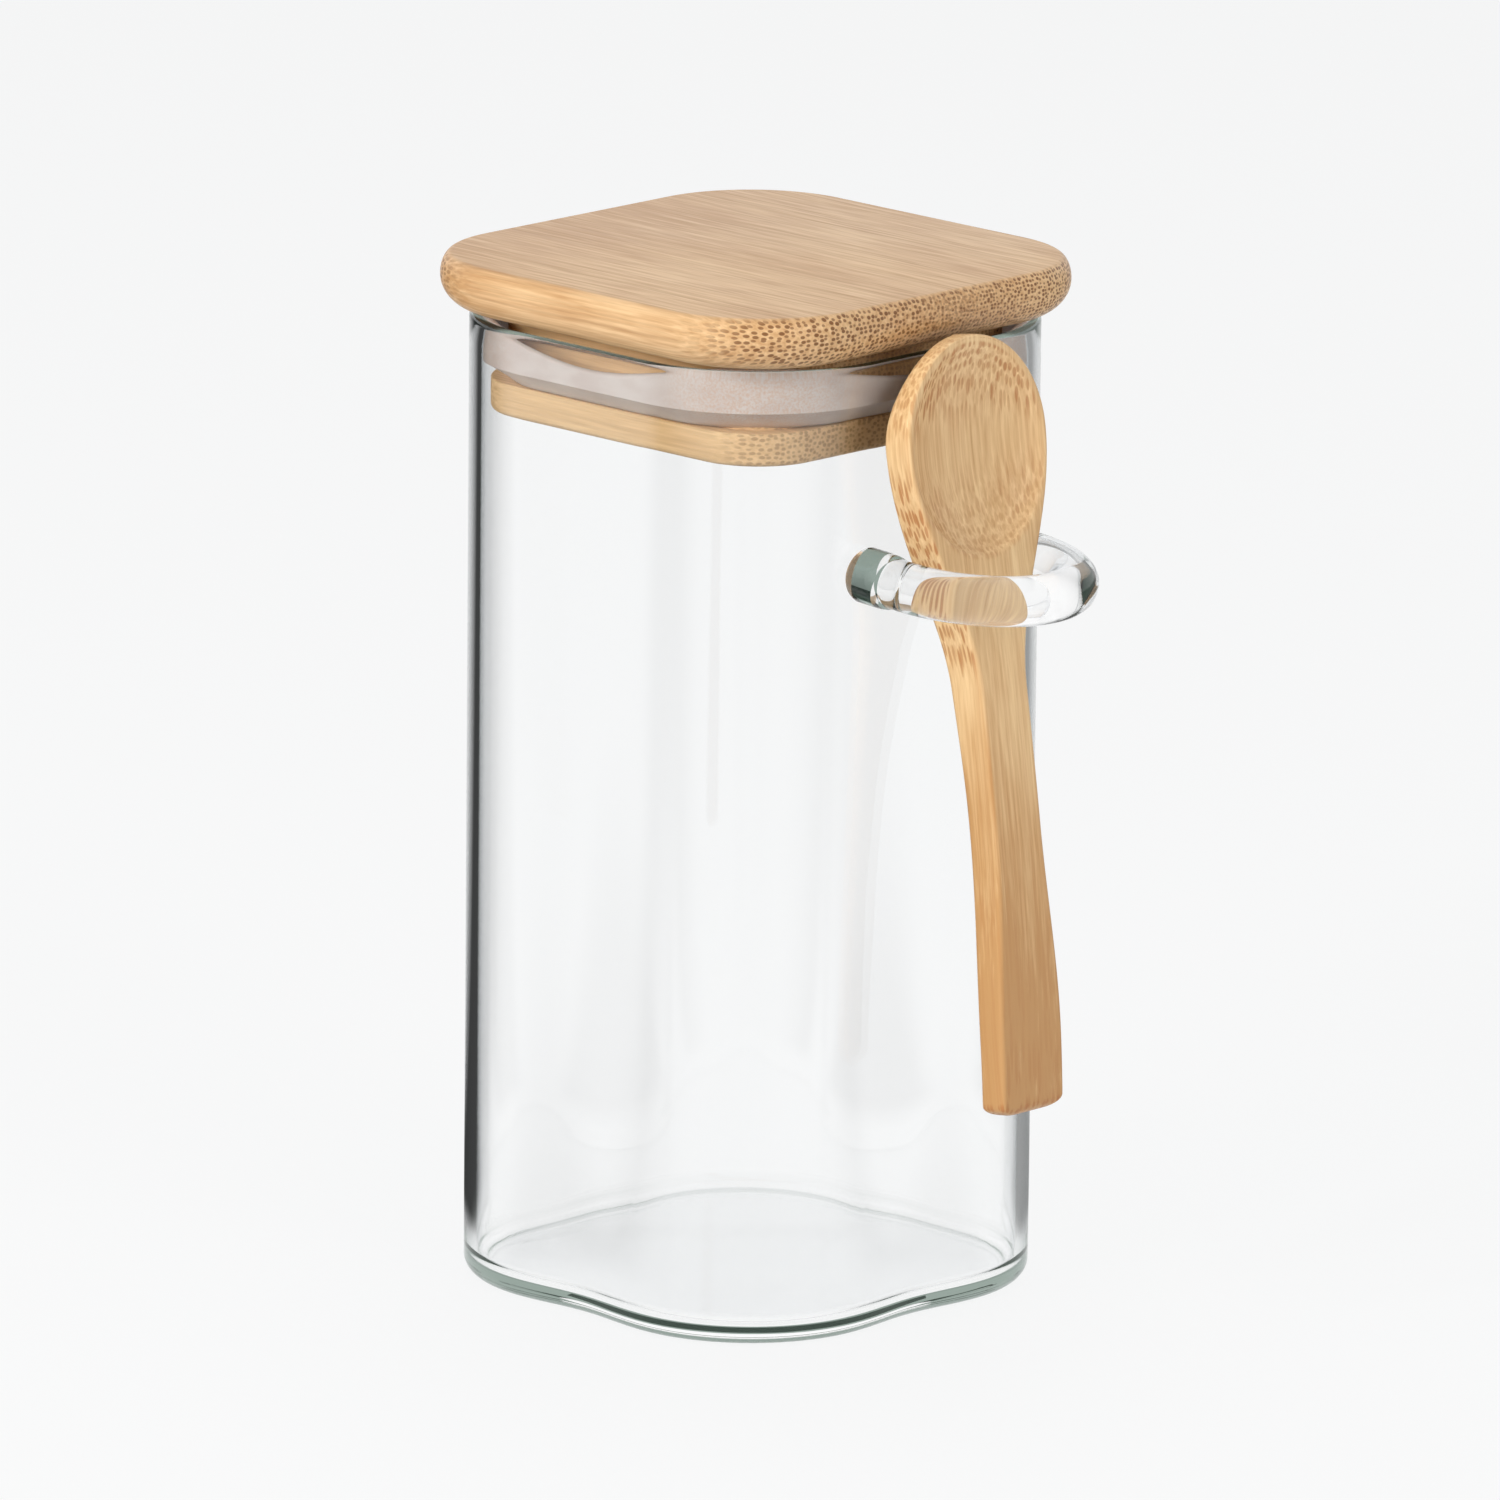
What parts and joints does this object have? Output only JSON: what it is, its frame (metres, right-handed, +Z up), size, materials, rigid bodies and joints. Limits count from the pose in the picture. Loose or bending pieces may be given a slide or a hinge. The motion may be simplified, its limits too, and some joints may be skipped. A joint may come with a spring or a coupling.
{
  "type": "glass storage jar",
  "caption": "Tall square glass food canister with a wooden push-in lid, a clear side wall loop, and a wooden measuring spoon hung in the loop.",
  "frame": {"origin": "centre of the jar's base, on the surface that it stands on", "axes": "+Z up along the jar, -Y out through the wall that carries the loop and the spoon, +X to the right as seen facing that wall"},
  "size_m": [0.089, 0.119, 0.1795],
  "materials": {
    "jar_glass": "clear colourless blown glass, polished, faintly green in its edges",
    "loop_glass": "clear solid glass rod, flame-worked and glossy",
    "lid_bamboo": "warm tan bamboo, fine straight grain, satin oil",
    "plug_bamboo": "pale tan bamboo, fine straight grain, satin",
    "seal_silicone": "translucent milky silicone, smooth and slightly glossy",
    "spoon_bamboo": "honey-coloured bamboo with short dark fibre marks, satin"
  },
  "bodies": {
    "jar": {"glass_body": "jar_glass", "spoon_loop": "loop_glass"},
    "lid": {"lid_board": "lid_bamboo", "lid_plug": "plug_bamboo", "lid_seal": "seal_silicone"},
    "spoon": {"spoon": "spoon_bamboo"}
  },
  "joints": [
    {"name": "lid_lift", "type": "slide", "parent": "jar", "child": "lid", "axis": [0, 0, 1], "range_m": [0, 0.025]},
    {"name": "spoon_lift", "type": "slide", "parent": "jar", "child": "spoon", "axis": [0, 0.0649, 0.9979], "range_m": [0, 0.105]}
  ]
}
